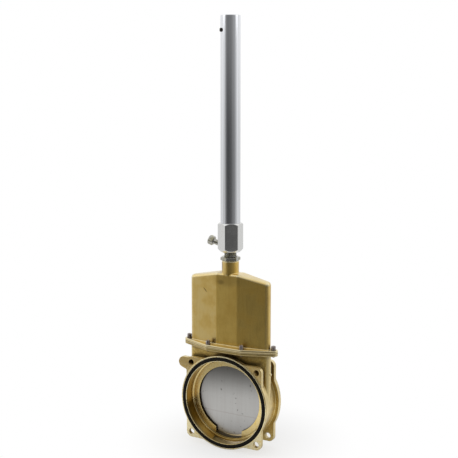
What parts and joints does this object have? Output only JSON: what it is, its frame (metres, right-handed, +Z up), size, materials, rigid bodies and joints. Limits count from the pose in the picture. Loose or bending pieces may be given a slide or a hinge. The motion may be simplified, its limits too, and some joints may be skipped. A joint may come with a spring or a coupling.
{
  "type": "hydraulic knife gate valve",
  "caption": "Flanged brass knife gate valve with a flat bonnet and a long single-acting hydraulic cylinder that lifts the gate.",
  "frame": {"origin": "centre of the rear flange face, on the bore axis", "axes": "+Z up along the piston rod, +Y out of the rear flange face along the bore, +X across the flange; the front face with the sealing ring looks to -Y"},
  "size_m": [0.227, 0.0714, 0.9309],
  "materials": {
    "cast_brass": "as cast, satin",
    "seat_brass": "machined",
    "plated_steel": "zinc plated",
    "bright_steel": "bright drawn",
    "stainless": "brushed",
    "black_rubber": "matt"
  },
  "bodies": {
    "valve": {"valve_body": "cast_brass", "front_seat_ring": "seat_brass", "rear_seat_ring": "seat_brass", "flange_o_ring": "black_rubber", "bonnet_gasket": "black_rubber", "bonnet": "cast_brass", "screw_1": "plated_steel", "screw_2": "plated_steel", "screw_3": "plated_steel", "screw_4": "plated_steel", "screw_5": "plated_steel", "screw_6": "plated_steel", "washer_1": "plated_steel", "washer_2": "plated_steel", "washer_3": "plated_steel", "washer_4": "plated_steel", "washer_5": "plated_steel", "washer_6": "plated_steel", "rod_packing": "black_rubber", "lock_nut": "plated_steel", "cylinder_head": "plated_steel", "rod_seal": "black_rubber", "cylinder_tube": "bright_steel", "end_plug": "plated_steel", "breather": "seat_brass", "port_adapter": "plated_steel", "return_spring": "stainless"},
    "gate": {"gate_blade": "stainless", "rod_block": "stainless", "block_pin": "stainless", "piston_rod": "bright_steel", "piston": "plated_steel", "piston_seal": "black_rubber", "piston_nut": "plated_steel"}
  },
  "joints": [
    {"name": "gate_slide", "type": "slide", "parent": "valve", "child": "gate", "axis": [0, 0, 1], "range_m": [0, 0.157], "deforming": ["return_spring"]}
  ]
}
